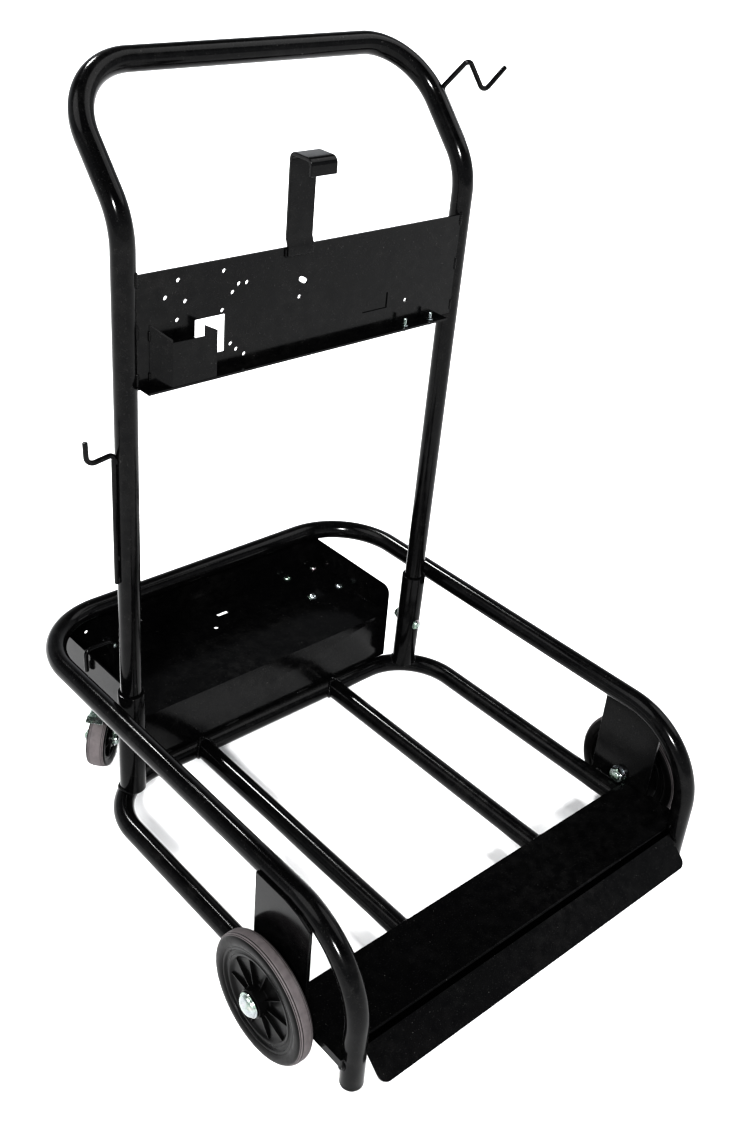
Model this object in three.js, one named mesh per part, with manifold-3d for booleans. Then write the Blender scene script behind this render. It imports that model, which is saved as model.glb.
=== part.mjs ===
// Welding cart: a bent steel tube frame on two fixed wheels and two swivel casters,
// with a toe plate, a cylinder tray and a push handle. Millimetres, +Z up, +Y towards
// the tray. The origin is on the floor under the middle of the cart.
import * as THREE from 'three';
import { mergeVertices } from 'three/addons/utils/BufferGeometryUtils.js';
import Module from 'manifold-3d';

const wasm = await Module();
wasm.setup();

// ---- Driving dimensions -------------------------------------------------------------
const GAP = 0.3; // between pieces that touch on the real cart
const TUBE_R = 12.7;
const TUBE_WALL = 1.65;
const ROD_R = 3;
const SHEET = 2;

const RAIL_X = 262.5; // side tubes of the lower frame and of the cage
const LOWER_Z = 51;
const CAGE_Z = 202;
const LOWER_CORNER_R = 82;
const CAGE_CORNER_R = 97;
const CROSS_Y = 173;
const CAGE_REAR_Y = 332;
const LEG_Y = -313;
const LEG_BEND_R = 100;
const LEG_END_Z = 24;
const INNER_RAIL_X = 110;
const INNER_RAIL_FRONT_Y = -285;

const MAST_X = 227;
const MAST_Y = 150;
const MAST_LEAN = 0.021; // radians, towards the toe plate
const POST_START = 19; // mast heights are measured up the mast from the lower frame
const HANDLE_KNEE = 716;
const HANDLE_BEND_R = 72;
const HANDLE_CORNER_R = 76;
const HANDLE_SLOPE = 0.752; // radians from upright
const HANDLE_REACH = 162;
const SOCKET_R = 15.9;
const SOCKET_START = 13.6;
const SOCKET_END = 158;
const POST_BOLT_HEIGHT = 82;
const POST_BOLT_R = 4;

const PANEL_HALF_WIDTH = 219.4; // the ends are cut on a slant to lie against the posts
const PANEL_BACK_HALF_WIDTH = 216.4;
const PANEL_LIP_RIGHT = 200; // the lip stops short of the right-hand post
const PANEL_BOTTOM = 546;
const PANEL_TOP = 666;
const PANEL_FRONT = -10.7;
const PANEL_THICKNESS = 2.5;
const PANEL_LIP = 16.3;

const TOE_REAR_Y = -220;
const TOE_BEND_Y = -308;
const TOE_FRONT_Y = -344.7;
const TOE_UNDERSIDE_Z = LOWER_Z + TUBE_R + GAP;
const TOE_THICKNESS = 3;
const TOE_HALF_WIDTH = 274;
const TOE_LIP_HALF_WIDTH = 249;
const TOE_LIP_SLOPE = 0.728;
const TOE_EAR_HALF_WIDTH = 281;
const TOE_EAR_REAR_Y = -256.5;
const TOE_EAR_FRONT_Y = -314;
const TOE_EAR_DROP = 8;

const TRAY_HALF_WIDTH = 210;
const TRAY_FRONT_Y = 174;
const TRAY_REAR_Y = 335;
const TRAY_FLOOR_TOP = 137;
const TRAY_WALL_TOP = 179;
const TRAY_BACK_TOP = 189;

const WHEEL_R = 73.5;
const WHEEL_WIDTH = 20;
const WHEEL_X = 298;
const WHEEL_Y = -210;
const HUB_INNER = 15.3; // reach of the hub boss each way from the middle of the tyre
const HUB_OUTER = 16.5;
const AXLE_R = 6;
const BRACKET_X = RAIL_X + TUBE_R + GAP;
const BRACKET_THICKNESS = 4;

const CASTER_X = 172;
const CASTER_Y = 296;
const CASTER_R = 38;
const CASTER_WIDTH = 25;
const CASTER_TRAIL = 31;
const CASTER_HEADING = 3.87; // radians, which way the trailing wheels point
const CASTER_PLATE_Z = 104;
const CASTER_CROWN_Z = 92;
const CASTER_BOLT_X = 25;
const CASTER_BOLT_Y = 30;
const CASTER_BOLT_R = 3;
const CASTER_AXLE_R = 4;
const PEDAL_X = 13; // pivot of the brake pedal, from the swivel axis
const PEDAL_Z = 83.5;
const PEDAL_ROD_R = 2.5;

// ---- Materials ----------------------------------------------------------------------
const paint = new THREE.MeshStandardMaterial({ color: 0x0b0b0c, roughness: 0.22, metalness: 0.1 });
const zinc = new THREE.MeshStandardMaterial({ color: 0xb9bbb8, roughness: 0.3, metalness: 1 });
const rubber = new THREE.MeshStandardMaterial({ color: 0x55504f, roughness: 0.75, metalness: 0 });
const plastic = new THREE.MeshStandardMaterial({ color: 0x101011, roughness: 0.5, metalness: 0 });

// ---- Solid helpers ------------------------------------------------------------------
function signedVolume(position, index) {
  const a = new THREE.Vector3();
  const b = new THREE.Vector3();
  const c = new THREE.Vector3();
  let sum = 0;
  for (let i = 0; i < index.length; i += 3) {
    a.fromBufferAttribute(position, index[i]);
    b.fromBufferAttribute(position, index[i + 1]);
    c.fromBufferAttribute(position, index[i + 2]);
    sum += a.dot(b.cross(c)) / 6;
  }
  return sum;
}

// Merges shared corners, drops empty triangles and points every face outwards.
function closed(geometry) {
  const bare = geometry.clone();
  bare.deleteAttribute('normal');
  bare.deleteAttribute('uv');
  const merged = mergeVertices(bare, 1e-4);
  const source = merged.index.array;
  const kept = [];
  for (let i = 0; i < source.length; i += 3) {
    const corners = [source[i], source[i + 1], source[i + 2]];
    if (new Set(corners).size === 3) kept.push(...corners);
  }
  if (signedVolume(merged.attributes.position, kept) < 0) kept.reverse();
  merged.setIndex(kept);
  return merged;
}

function toManifold(geometry) {
  const solid = closed(geometry);
  const vertProperties = new Float32Array(solid.attributes.position.array);
  const triVerts = new Uint32Array(solid.index.array);
  return new wasm.Manifold(new wasm.Mesh({ numProp: 3, vertProperties, triVerts }));
}

function fromManifold(manifold) {
  const mesh = manifold.getMesh();
  const geometry = new THREE.BufferGeometry();
  geometry.setAttribute('position', new THREE.BufferAttribute(mesh.vertProperties, 3));
  geometry.setIndex(Array.from(mesh.triVerts));
  return geometry;
}

function join(...geometries) {
  const [first, ...rest] = geometries.map(toManifold);
  return fromManifold(rest.reduce((sum, next) => sum.add(next), first));
}

function cut(geometry, tools) {
  const sum = tools.map(toManifold).reduce((total, tool) => total.subtract(tool), toManifold(geometry));
  return fromManifold(sum);
}


// A box from its lowest corner to its highest corner.
function slab(low, high) {
  const size = high.map((value, axis) => value - low[axis]);
  const middle = high.map((value, axis) => (value + low[axis]) / 2);
  return new THREE.BoxGeometry(...size).translate(...middle);
}

function cylinder(radius, length, segments = 12) {
  return new THREE.CylinderGeometry(radius, radius, length, segments);
}

// A round bar along one axis ('x', 'y' or 'z') through a centre point.
function bar(axis, radius, length, centre, segments = 12) {
  const geometry = cylinder(radius, length, segments);
  if (axis === 'x') geometry.rotateZ(Math.PI / 2);
  if (axis === 'z') geometry.rotateX(Math.PI / 2);
  return geometry.translate(...centre);
}

// A turned piece about Z, from [radius, height] pairs.
function turned(profile, segments = 16) {
  const points = profile.map(([radius, height]) => new THREE.Vector2(radius, height));
  return new THREE.LatheGeometry(points, segments).rotateX(Math.PI / 2);
}

// A turned ring about X, from [radius, distance along X] pairs that close on themselves.
function ringAboutX(profile, segments) {
  return turned([...profile, profile[0]], segments).rotateY(Math.PI / 2);
}

function polygon(points) {
  return new THREE.Shape(points.map(([x, y]) => new THREE.Vector2(x, y)));
}

function rounded(left, bottom, right, top, radii) {
  const [bottomLeft, bottomRight, topRight, topLeft] = radii;
  const shape = new THREE.Shape();
  shape.moveTo(left + bottomLeft, bottom);
  shape.lineTo(right - bottomRight, bottom);
  shape.absarc(right - bottomRight, bottom + bottomRight, bottomRight, -Math.PI / 2, 0);
  shape.lineTo(right, top - topRight);
  shape.absarc(right - topRight, top - topRight, topRight, 0, Math.PI / 2);
  shape.lineTo(left + topLeft, top);
  shape.absarc(left + topLeft, top - topLeft, topLeft, Math.PI / 2, Math.PI);
  shape.lineTo(left, bottom + bottomLeft);
  shape.absarc(left + bottomLeft, bottom + bottomLeft, bottomLeft, Math.PI, Math.PI * 1.5);
  return shape;
}

function extruded(shape, depth) {
  return new THREE.ExtrudeGeometry(shape, { depth, bevelEnabled: false, curveSegments: 3 });
}

// A shape drawn in (Y, Z), extruded along X between two values.
function alongX(shape, from, to) {
  const geometry = extruded(shape, to - from);
  geometry.rotateY(Math.PI / 2).rotateX(Math.PI / 2);
  return geometry.translate(from, 0, 0);
}

// Straight runs joined by round bends: stations sit only at the ends of each run and
// round each bend.
class BentPath extends THREE.Curve {
  constructor(corners, bendRadii, stepsPerBend) {
    super();
    this.stations = [];
    const points = corners.map((corner) => new THREE.Vector3(...corner));
    const last = points.length - 1;
    const first = points[1].clone().sub(points[0]).normalize();
    this.stations.push({ point: points[0], tangent: first });
    for (let i = 1; i < last; i += 1) {
      this.addBend(points[i - 1], points[i], points[i + 1], bendRadii[i - 1], stepsPerBend);
    }
    const end = points[last].clone().sub(points[last - 1]).normalize();
    this.stations.push({ point: points[last], tangent: end });
  }

  addBend(before, corner, after, radius, steps) {
    const incoming = corner.clone().sub(before).normalize();
    const outgoing = after.clone().sub(corner).normalize();
    const angle = incoming.angleTo(outgoing);
    const start = corner.clone().addScaledVector(incoming, -radius * Math.tan(angle / 2));
    const axis = incoming.clone().cross(outgoing).normalize();
    const inward = axis.clone().cross(incoming);
    const centre = start.clone().addScaledVector(inward, radius);
    for (let step = 0; step <= steps; step += 1) {
      const turn = (angle * step) / steps;
      const arm = inward.clone().multiplyScalar(-radius).applyAxisAngle(axis, turn);
      const tangent = incoming.clone().applyAxisAngle(axis, turn);
      this.stations.push({ point: centre.clone().add(arm), tangent });
    }
  }

  get steps() {
    return this.stations.length - 1;
  }

  getPointAt(u) {
    return this.stations[Math.round(u * this.steps)].point.clone();
  }

  getTangentAt(u) {
    return this.stations[Math.round(u * this.steps)].tangent.clone();
  }
}

function circleOf(PathClass, radius, sides) {
  const path = new PathClass();
  for (let side = 0; side < sides; side += 1) {
    const angle = (2 * Math.PI * side) / sides;
    const place = [radius * Math.cos(angle), radius * Math.sin(angle)];
    if (side === 0) path.moveTo(...place);
    else path.lineTo(...place);
  }
  path.closePath();
  return path;
}

function bentTube(corners, bendRadii, stepsPerBend = 6) {
  const section = circleOf(THREE.Shape, TUBE_R, 12);
  section.holes.push(circleOf(THREE.Path, TUBE_R - TUBE_WALL, 8));
  const extrudePath = new BentPath(corners, bendRadii, stepsPerBend);
  return new THREE.ExtrudeGeometry(section, { steps: extrudePath.steps, extrudePath });
}

function bentRod(corners, bendRadii) {
  const extrudePath = new BentPath(corners, bendRadii, 3);
  const section = circleOf(THREE.Shape, ROD_R, 8);
  return new THREE.ExtrudeGeometry(section, { steps: extrudePath.steps, extrudePath });
}

// Moves a piece drawn in the mast's own upright frame to its leaning place on the cart.
function onMast(geometry) {
  return geometry.rotateX(MAST_LEAN).translate(0, MAST_Y, LOWER_Z);
}

// ---- The cart -----------------------------------------------------------------------
const cart = new THREE.Group();

function add(name, geometry, material) {
  const mesh = new THREE.Mesh(closed(geometry), material);
  mesh.name = name;
  cart.add(mesh);
}

const SIDES = [['left', -1], ['right', 1]];

function addLowerFrame() {
  const front = LEG_Y + TUBE_R + GAP;
  const corners = [
    [-RAIL_X, front, LOWER_Z],
    [-RAIL_X, CROSS_Y, LOWER_Z],
    [RAIL_X, CROSS_Y, LOWER_Z],
    [RAIL_X, front, LOWER_Z],
  ];
  add('lower_frame_tube', bentTube(corners, [LOWER_CORNER_R, LOWER_CORNER_R]), paint);
  for (const [side, sign] of SIDES) {
    const x = sign * INNER_RAIL_X;
    const rear = CROSS_Y - TUBE_R - GAP;
    const run = [[x, INNER_RAIL_FRONT_Y, LOWER_Z], [x, rear, LOWER_Z]];
    add(`inner_rail_${side}`, bentTube(run, []), paint);
  }
}

function addCage() {
  const corners = [
    [-RAIL_X, LEG_Y, LEG_END_Z],
    [-RAIL_X, LEG_Y, CAGE_Z],
    [-RAIL_X, CAGE_REAR_Y, CAGE_Z],
    [RAIL_X, CAGE_REAR_Y, CAGE_Z],
    [RAIL_X, LEG_Y, CAGE_Z],
    [RAIL_X, LEG_Y, LEG_END_Z],
  ];
  const radii = [LEG_BEND_R, CAGE_CORNER_R, CAGE_CORNER_R, LEG_BEND_R];
  add('cage_rail', bentTube(corners, radii), paint);

  const stem = TUBE_R - TUBE_WALL - 1.2;
  const top = LEG_END_Z - GAP;
  const profile = [
    [0, top - 7.5],
    [7, top - 7],
    [TUBE_R, top - 4],
    [TUBE_R, top],
    [stem, top],
    [stem, top + 12],
    [0, top + 12],
  ];
  for (const [side, sign] of SIDES) {
    const plug = turned(profile, 12).translate(sign * RAIL_X, LEG_Y, 0);
    add(`leg_plug_${side}`, plug, plastic);
  }
}

function addToePlate() {
  const top = TOE_UNDERSIDE_Z + TOE_THICKNESS;
  const outline = polygon([
    [-TOE_HALF_WIDTH, TOE_REAR_Y],
    [-TOE_HALF_WIDTH, TOE_EAR_REAR_Y],
    [-TOE_EAR_HALF_WIDTH, TOE_EAR_REAR_Y],
    [-TOE_EAR_HALF_WIDTH, TOE_EAR_FRONT_Y],
    [-TOE_LIP_HALF_WIDTH, TOE_EAR_FRONT_Y],
    [-TOE_LIP_HALF_WIDTH, TOE_BEND_Y],
    [TOE_LIP_HALF_WIDTH, TOE_BEND_Y],
    [TOE_LIP_HALF_WIDTH, TOE_EAR_FRONT_Y],
    [TOE_EAR_HALF_WIDTH, TOE_EAR_FRONT_Y],
    [TOE_EAR_HALF_WIDTH, TOE_EAR_REAR_Y],
    [TOE_HALF_WIDTH, TOE_EAR_REAR_Y],
    [TOE_HALF_WIDTH, TOE_REAR_Y],
  ]);
  const flange = extruded(outline, TOE_THICKNESS).translate(0, 0, TOE_UNDERSIDE_Z);
  const reach = (TOE_BEND_Y - TOE_FRONT_Y) / Math.cos(TOE_LIP_SLOPE);
  const lipShape = rounded(-TOE_LIP_HALF_WIDTH, -reach, TOE_LIP_HALF_WIDTH, 2, [10, 10, 0, 0]);
  const lip = extruded(lipShape, TOE_THICKNESS).translate(0, 0, -TOE_THICKNESS);
  lip.rotateX(TOE_LIP_SLOPE).translate(0, TOE_BEND_Y, top);
  const legs = SIDES.map(([, sign]) => bar('z', TUBE_R + 0.5, 60, [sign * RAIL_X, LEG_Y, top]));
  const ears = SIDES.map(([, sign]) => {
    const edges = [sign * (TOE_EAR_HALF_WIDTH - 2.5), sign * TOE_EAR_HALF_WIDTH];
    return slab(
      [Math.min(...edges), TOE_EAR_FRONT_Y, TOE_UNDERSIDE_Z - TOE_EAR_DROP],
      [Math.max(...edges), TOE_EAR_REAR_Y, top],
    );
  });
  add('toe_plate', cut(join(flange, lip, ...ears), legs), paint);
}

function addTray() {
  const floor = TRAY_FLOOR_TOP - SHEET;
  const inner = TRAY_HALF_WIDTH - SHEET;
  const wall = rounded(TRAY_FRONT_Y, floor, TRAY_REAR_Y, TRAY_WALL_TOP, [0, 0, 0, 12]);
  const sheets = [
    slab([-TRAY_HALF_WIDTH, TRAY_FRONT_Y, floor], [TRAY_HALF_WIDTH, TRAY_REAR_Y, TRAY_FLOOR_TOP]),
    slab(
      [-TRAY_HALF_WIDTH, TRAY_FRONT_Y, TOE_UNDERSIDE_Z],
      [TRAY_HALF_WIDTH, TRAY_FRONT_Y + SHEET, TRAY_FLOOR_TOP],
    ),
    slab(
      [-TRAY_HALF_WIDTH, TRAY_REAR_Y - SHEET, floor],
      [TRAY_HALF_WIDTH, TRAY_REAR_Y, TRAY_BACK_TOP],
    ),
    alongX(wall, inner, TRAY_HALF_WIDTH),
    alongX(wall, -TRAY_HALF_WIDTH, -inner),
  ];
  const holes = [
    bar('z', 3.5, 12, [-10, 282, floor]),
    slab([8, 302, floor - 3], [26, 309, floor + 6]),
    bar('y', 2.5, 12, [-98, TRAY_REAR_Y, 153]),
    bar('y', 2.5, 12, [-180, TRAY_REAR_Y, 168]),
  ];
  for (const place of casterBoltPlaces()) {
    holes.push(bar('z', CASTER_BOLT_R + 0.5, 12, [...place, floor]));
  }
  add('cylinder_tray', cut(join(...sheets), holes), paint);

  // A bent rod that hooks over the left wall of the tray.
  const y = 274;
  const outside = -TRAY_HALF_WIDTH - ROD_R - 1.5;
  const corners = [
    [outside, y, 156],
    [outside, y, 187],
    [-178, y, 187],
    [-178, y, TRAY_FLOOR_TOP + GAP],
  ];
  add('tray_keeper_rod', bentRod(corners, [7, 7]), paint);
}

function addMast() {
  const reachY = HANDLE_REACH * Math.sin(HANDLE_SLOPE);
  const top = HANDLE_KNEE + HANDLE_REACH * Math.cos(HANDLE_SLOPE);
  const corners = [
    [-MAST_X, 0, POST_START],
    [-MAST_X, 0, HANDLE_KNEE],
    [-MAST_X, reachY, top],
    [MAST_X, reachY, top],
    [MAST_X, 0, HANDLE_KNEE],
    [MAST_X, 0, POST_START],
  ];
  const radii = [HANDLE_BEND_R, HANDLE_CORNER_R, HANDLE_CORNER_R, HANDLE_BEND_R];
  const drill = SIDES.map(([, sign]) => {
    return bar('y', POST_BOLT_R + 0.4, 60, [sign * MAST_X, 0, POST_BOLT_HEIGHT]);
  });
  add('mast_handle', onMast(cut(bentTube(corners, radii), drill)), paint);

  const bore = (TUBE_R + GAP) / Math.cos(Math.PI / 12);
  const length = SOCKET_END - SOCKET_START;
  const middle = (SOCKET_END + SOCKET_START) / 2;
  for (const [side, sign] of SIDES) {
    const x = sign * MAST_X;
    const outer = bar('z', SOCKET_R, length, [x, 0, middle], 16);
    const bores = [
      bar('z', bore, length + 10, [x, 0, middle], 12),
      bar('y', POST_BOLT_R + 0.4, 60, [x, 0, POST_BOLT_HEIGHT]),
    ];
    add(`post_socket_${side}`, onMast(cut(outer, bores)), paint);
    addPostBolt(side, x);
  }
}

function addPostBolt(side, x) {
  const face = SOCKET_R + 0.5;
  const head = 6.5;
  const profile = [
    [0, -face - 9],
    [POST_BOLT_R, -face - 9],
    [POST_BOLT_R, face],
    [head, face],
    [head, face + 1.5],
    [head * 0.7, face + 4],
    [0, face + 5],
  ];
  const bolt = turned(profile, 12).rotateX(Math.PI / 2).translate(x, 0, POST_BOLT_HEIGHT);
  add(`post_bolt_${side}`, onMast(bolt), zinc);
  const nut = hexNut(7.5, 6.5, POST_BOLT_R + 0.4).rotateX(Math.PI / 2);
  add(`post_nut_${side}`, onMast(nut.translate(x, face + 3.25, POST_BOLT_HEIGHT)), zinc);
}

function hexNut(cornerR, height, boreR) {
  return cut(cylinder(cornerR, height, 6).rotateX(Math.PI / 2), [bar('z', boreR, height + 4, [0, 0, 0])]);
}

// Small round holes in the mast panel: [x, height up the mast].
const PANEL_HOLES = [
  [-186, 637.5], [-162.5, 630], [-172, 612], [-97, 637], [-117, 612],
  [-105.5, 573], [-98, 565.5], [-87.5, 558], [-16, 608.5], [143, 576],
  [-171, 653.3], [-116, 653.8], [-104.6, 629.2], [-86.8, 636.7],
];
const SLOT_ENDS = [[-15.5, 628.5], [-8.9, 624.7]];
const SLOT_R = 2.9;

// The slanted slot near the middle of the panel.
function panelSlot() {
  const [[leftX, leftHeight], [rightX, rightHeight]] = SLOT_ENDS;
  const half = Math.hypot(rightX - leftX, rightHeight - leftHeight) / 2;
  const slant = Math.atan2(leftHeight - rightHeight, rightX - leftX);
  const middle = slab([-half, -6, -SLOT_R], [half, 6, SLOT_R]).rotateY(slant);
  middle.translate((leftX + rightX) / 2, PANEL_FRONT, (leftHeight + rightHeight) / 2);
  const ends = SLOT_ENDS.map(([x, height]) => bar('y', SLOT_R, 12, [x, PANEL_FRONT, height]));
  return join(middle, ...ends);
}

function addPanel() {
  const back = PANEL_FRONT + PANEL_THICKNESS;
  const lipFront = PANEL_FRONT - PANEL_LIP;
  const plan = polygon([
    [-PANEL_HALF_WIDTH, PANEL_FRONT],
    [PANEL_HALF_WIDTH, PANEL_FRONT],
    [PANEL_BACK_HALF_WIDTH, back],
    [-PANEL_BACK_HALF_WIDTH, back],
  ]);
  const upright = extruded(plan, PANEL_TOP - PANEL_BOTTOM).translate(0, 0, PANEL_BOTTOM);
  const lip = slab(
    [-PANEL_BACK_HALF_WIDTH, lipFront, PANEL_BOTTOM],
    [PANEL_LIP_RIGHT, back, PANEL_BOTTOM + PANEL_THICKNESS],
  );
  const sheet = join(upright, lip);
  const tools = [
    slab([-151, PANEL_FRONT - 4, 566], [-113, back + 4, 608]),
    slab([77, PANEL_FRONT - 1, 572], [114, PANEL_FRONT + 1.2, 590.5]),
    panelSlot(),
  ];
  for (const [x, height] of PANEL_HOLES) {
    tools.push(bar('y', 2.6, 12, [x, PANEL_FRONT, height], 8));
  }
  const studs = [['left', 137], ['right', 177]];
  for (const [, x] of studs) tools.push(bar('z', 2.8, 12, [x, -20, PANEL_BOTTOM], 8));
  add('mast_panel', onMast(cut(sheet, tools)), paint);

  const seat = PANEL_BOTTOM + PANEL_THICKNESS + GAP;
  const profile = [
    [0, PANEL_BOTTOM - 3],
    [2.3, PANEL_BOTTOM - 3],
    [2.3, seat],
    [4.2, seat],
    [4.2, seat + 2],
    [2.2, seat + 2],
    [2.2, seat + 9],
    [0, seat + 9.6],
  ];
  for (const [side, x] of studs) {
    add(`panel_stud_${side}`, onMast(turned(profile, 8).translate(x, -20, 0)), zinc);
  }
}

// A shallow pocket on the panel's lip: a front wall with a raised tab, and a slanted
// end that runs back to the panel.
function addTorchHolder() {
  const foot = PANEL_BOTTOM + PANEL_THICKNESS + GAP;
  const wallFront = -26.8;
  const wallBack = wallFront + SHEET;
  const face = polygon([
    [-188, foot], [-134, foot], [-134, 600], [-149, 608], [-149, 596], [-188, 597],
  ]);
  const wall = extruded(face, SHEET).rotateX(Math.PI / 2).translate(0, wallBack, 0);
  const plan = polygon([
    [-188, wallFront], [-186.5, wallBack], [-203, PANEL_FRONT - GAP], [-205.5, PANEL_FRONT - GAP],
  ]);
  const end = extruded(plan, 613 - foot).translate(0, 0, foot);
  const slope = alongX(polygon([[-34, 590], [-34, 640], [-8, 640], [-8, 616]]), -230, -180);
  add('torch_holder', onMast(join(wall, cut(end, [slope]))), paint);
}

// The flat bar that steadies the gas cylinder: up, forwards and down again.
function addStay() {
  const near = PANEL_FRONT - GAP;
  const thick = 4;
  const corner = 8;
  const [foot, top, front, mouth] = [657, 765, near - 33, 747];
  const [jogStart, jogEnd] = [667.5, 675];
  const upper = near + 3;
  const bent = new THREE.Shape();
  bent.moveTo(near, foot);
  bent.lineTo(near, jogStart);
  bent.lineTo(upper, jogEnd);
  bent.lineTo(upper, top - corner);
  bent.absarc(upper - corner, top - corner, corner, 0, Math.PI / 2);
  bent.lineTo(front + corner, top);
  bent.absarc(front + corner, top - corner, corner, Math.PI / 2, Math.PI);
  bent.lineTo(front, mouth);
  bent.lineTo(front + thick, mouth);
  bent.lineTo(front + thick, top - corner);
  bent.absarc(front + corner, top - corner, corner - thick, Math.PI, Math.PI / 2, true);
  bent.lineTo(upper - corner, top - thick);
  bent.absarc(upper - corner, top - corner, corner - thick, Math.PI / 2, 0, true);
  bent.lineTo(upper - thick, jogEnd);
  bent.lineTo(near - thick, jogStart);
  bent.lineTo(near - thick, foot);
  add('cylinder_stay', onMast(alongX(bent, -38, -4)), paint);
}

function addCableHooks() {
  const beside = MAST_X + TUBE_R + ROD_R + GAP;
  const left = [
    [-beside, 0, 316],
    [-beside, 0, 476],
    [-274, 0, 471],
    [-275, 0, 498],
  ];
  add('cable_hook_left', onMast(bentRod(left, [5, 9])), paint);

  const up = (distance) => [
    beside,
    distance * Math.sin(HANDLE_SLOPE),
    HANDLE_KNEE + distance * Math.cos(HANDLE_SLOPE),
  ];
  const right = [up(32), up(99), [262, 48, 823], [289, 45, 785], [316, 40, 813]];
  add('cable_hook_right', onMast(bentRod(right, [7, 5, 8])), paint);
}

// ---- Front wheels -------------------------------------------------------------------
function addFrontWheel(side, sign) {
  const half = WHEEL_WIDTH / 2;
  const place = [sign * WHEEL_X, WHEEL_Y, WHEEL_R];
  const tyre = [
    [59.3, -8.4], [64, -half], [69, -9.6], [72.1, -7.6], [WHEEL_R, -4.2],
    [WHEEL_R, 4.2], [72.1, 7.6], [69, 9.6], [64, half], [59.3, 8.4],
  ];
  const inner = -sign * HUB_INNER;
  const outer = sign * HUB_OUTER;
  const hub = [
    [9.4, inner], [17, inner], [17, -sign * 4], [48, -sign * 3], [52, -sign * 8], [59, -sign * 8.2],
    [59, sign * 8.2], [52, sign * 8], [48, sign * 3], [17, sign * 4], [16, outer], [9.4, outer],
  ];
  const bush = [[AXLE_R + 0.35, inner], [9, inner], [9, outer], [AXLE_R + 0.35, outer]];
  add(`front_tyre_${side}`, ringAboutX(tyre, 32).translate(...place), rubber);
  add(`front_hub_${side}`, ringAboutX(hub, 24).translate(...place), plastic);
  add(`front_bush_${side}`, ringAboutX(bush, 16).translate(...place), zinc);
}

function addFrontAxle(side, sign) {
  const outline = polygon([
    [-248, 45], [-173, 45], [-167, 51], [-167, 204], [-215, 204], [-236, 200], [-254, 192], [-254, 51],
  ]);
  const near = Math.min(sign * BRACKET_X, sign * (BRACKET_X + BRACKET_THICKNESS));
  const plate = alongX(outline, near, near + BRACKET_THICKNESS);
  const hole = bar('x', AXLE_R + 0.4, 20, [sign * BRACKET_X, WHEEL_Y, WHEEL_R]);
  add(`wheel_bracket_${side}`, cut(plate, [hole]), paint);

  const outerEnd = WHEEL_X + HUB_OUTER + 0.5;
  const innerEnd = BRACKET_X - 10;
  const length = outerEnd - innerEnd;
  const centre = [(sign * (outerEnd + innerEnd)) / 2, WHEEL_Y, WHEEL_R];
  add(`axle_pin_${side}`, bar('x', AXLE_R, length, centre), zinc);

  const nut = hexNut(10.8, 7.5, AXLE_R + 0.4).rotateY(Math.PI / 2);
  add(`axle_nut_${side}`, nut.translate(sign * (BRACKET_X - GAP - 3.75), WHEEL_Y, WHEEL_R), zinc);

  const dome = [[0, 0.3], [14.5, 0.3], [14.5, 1.8], [12.5, 3.6], [9.2, 5.9], [4.6, 7.3], [0, 7.7]];
  const cap = turned(dome, 20).rotateY(sign * (Math.PI / 2));
  add(`axle_cap_${side}`, cap.translate(sign * outerEnd, WHEEL_Y, WHEEL_R), zinc);
}

// ---- Casters ------------------------------------------------------------------------
function casterBoltPlaces() {
  const places = [];
  for (const [, sign] of SIDES) places.push(...casterBoltsOf(sign));
  return places;
}

function casterBoltsOf(sign) {
  const places = [];
  for (const dx of [-CASTER_BOLT_X, CASTER_BOLT_X]) {
    for (const dy of [-CASTER_BOLT_Y, CASTER_BOLT_Y]) {
      places.push([sign * CASTER_X + dx, CASTER_Y + dy]);
    }
  }
  return places;
}

function addCasterMount(side, sign) {
  const x = sign * CASTER_X;
  const plateTop = CASTER_PLATE_Z + 3;
  const drills = casterBoltsOf(sign).map((place) => bar('z', CASTER_BOLT_R + 0.5, 90, [...place, 110]));
  const plate = extruded(rounded(-35, -40, 35, 40, [8, 8, 8, 8]), 3);
  const kingpin = turned([
    [0, 86],
    [9, 86],
    [9, 89],
    [6, 89],
    [6, plateTop - 1],
    [8.5, plateTop - 1],
    [8.5, plateTop + 3],
    [0, plateTop + 4],
  ], 12);
  add(
    `caster_plate_${side}`,
    join(
      cut(plate.translate(x, CASTER_Y, CASTER_PLATE_Z), drills),
      kingpin.translate(x, CASTER_Y, 0),
    ),
    zinc,
  );
  const [low, high] = [plateTop + GAP, TRAY_FLOOR_TOP - SHEET - GAP];
  const channel = slab([x - 36, CASTER_Y - 40, low], [x + 36, CASTER_Y + 40, high]);
  const hollow = slab([x - 60, CASTER_Y - 37, low - 5], [x + 60, CASTER_Y + 37, high - 3]);
  add(`caster_riser_${side}`, cut(channel, [hollow, ...drills]), paint);

  const seat = TRAY_FLOOR_TOP + GAP;
  const foot = CASTER_PLATE_Z - GAP;
  const bolt = [
    [0, foot - 7], [CASTER_BOLT_R, foot - 7], [CASTER_BOLT_R, foot - 5], [5.6, foot - 5], [5.6, foot],
    [CASTER_BOLT_R, foot], [CASTER_BOLT_R, seat], [6.5, seat], [6.2, seat + 1.8], [3.5, seat + 3.6],
    [0, seat + 4],
  ];
  casterBoltsOf(sign).forEach(([boltX, boltY], index) => {
    add(`caster_bolt_${side}_${index + 1}`, turned(bolt, 10).translate(boltX, boltY, 0), zinc);
  });
}

// Drawn with the wheel trailing along +X and its axle along Y, then turned to its heading.
function onCaster(geometry, sign) {
  return geometry.rotateZ(CASTER_HEADING).translate(sign * CASTER_X, CASTER_Y, 0);
}

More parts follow.
